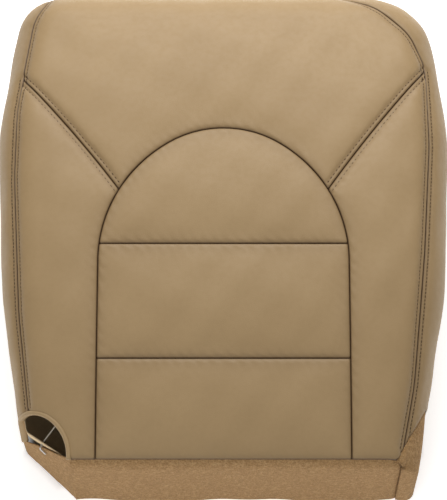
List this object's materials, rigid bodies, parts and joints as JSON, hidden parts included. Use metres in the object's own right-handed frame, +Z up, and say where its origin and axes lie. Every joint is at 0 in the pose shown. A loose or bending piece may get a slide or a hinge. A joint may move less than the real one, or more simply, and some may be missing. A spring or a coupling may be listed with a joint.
{
  "type": "seat cushion cover",
  "caption": "Fitted leather cover for a truck seat's bottom cushion, with an arched insert, a recliner cut-out and a fold-up carpet flap.",
  "frame": {"origin": "middle of the cover's outline, at the level of its lower hem", "axes": "+X to the occupant's right, +Y towards the seat's front edge, +Z up"},
  "size_m": [0.5108, 0.576, 0.147],
  "materials": {
    "front_bolster": "satin",
    "left_bolster": "satin",
    "right_bolster": "satin",
    "insert_front": "satin",
    "insert_middle": "satin",
    "insert_rear": "satin",
    "left_boxing": "satin",
    "right_boxing": "satin",
    "cutout_facing": "satin",
    "foam_backing": "matte",
    "hem_band": "matte",
    "listing": "matte",
    "listing_wire": "satin",
    "tab_carpet": "matte",
    "wing_carpet": "matte",
    "flap_carpet": "matte",
    "retainer_tape": "matte",
    "retainer_hook": "satin",
    "corner_clip": "satin",
    "corner_cord": "matte"
  },
  "bodies": {
    "cover": {"front_bolster": "front_bolster", "left_bolster": "left_bolster", "right_bolster": "right_bolster", "insert_front": "insert_front", "insert_middle": "insert_middle", "insert_rear": "insert_rear", "left_boxing": "left_boxing", "right_boxing": "right_boxing", "cutout_facing": "cutout_facing", "front_bolster_foam": "foam_backing", "left_bolster_foam": "foam_backing", "right_bolster_foam": "foam_backing", "insert_front_foam": "foam_backing", "insert_middle_foam": "foam_backing", "insert_rear_foam": "foam_backing", "left_boxing_foam": "foam_backing", "right_boxing_foam": "foam_backing", "left_hem_band": "hem_band", "front_hem_band": "hem_band", "right_hem_band": "hem_band", "left_rear_tab": "tab_carpet", "right_rear_wing": "wing_carpet", "front_cross_listing": "listing", "rear_cross_listing": "listing", "arch_listing": "listing", "front_cross_wire": "listing_wire", "rear_cross_wire": "listing_wire", "arch_wire": "listing_wire", "corner_clip": "corner_clip", "corner_cord": "corner_cord"},
    "rear_flap": {"rear_flap": "flap_carpet"},
    "front_retainer": {"front_retainer_tape": "retainer_tape", "front_retainer_hook": "retainer_hook"},
    "left_retainer": {"left_retainer_tape": "retainer_tape", "left_retainer_hook": "retainer_hook"},
    "right_retainer": {"right_retainer_tape": "retainer_tape", "right_retainer_hook": "retainer_hook"},
    "rear_retainer": {"rear_retainer_tape": "retainer_tape", "rear_retainer_hook": "retainer_hook"}
  },
  "joints": [
    {"name": "rear_flap_fold", "type": "hinge", "parent": "cover", "child": "rear_flap", "pos_m": [0.016, -0.2694, 0.11073], "axis": [-1, 0, 0], "range_deg": [0, 100]},
    {"name": "front_retainer_roll", "type": "hinge", "parent": "cover", "child": "front_retainer", "pos_m": [-0.01, 0.2839, 0.046], "axis": [-1, 0, 0], "range_deg": [0, 95]},
    {"name": "left_retainer_roll", "type": "hinge", "parent": "cover", "child": "left_retainer", "pos_m": [-0.24701, 0.01221, 0.046], "axis": [0.0499, -0.9988, 0], "range_deg": [0, 95]},
    {"name": "right_retainer_roll", "type": "hinge", "parent": "cover", "child": "right_retainer", "pos_m": [0.24701, 0.01221, 0.046], "axis": [0.0499, 0.9988, 0], "range_deg": [0, 95]},
    {"name": "rear_retainer_roll", "type": "hinge", "parent": "rear_flap", "child": "rear_retainer", "pos_m": [0.018, -0.27658, 0.046], "axis": [1, 0, 0], "range_deg": [0, 95]}
  ]
}
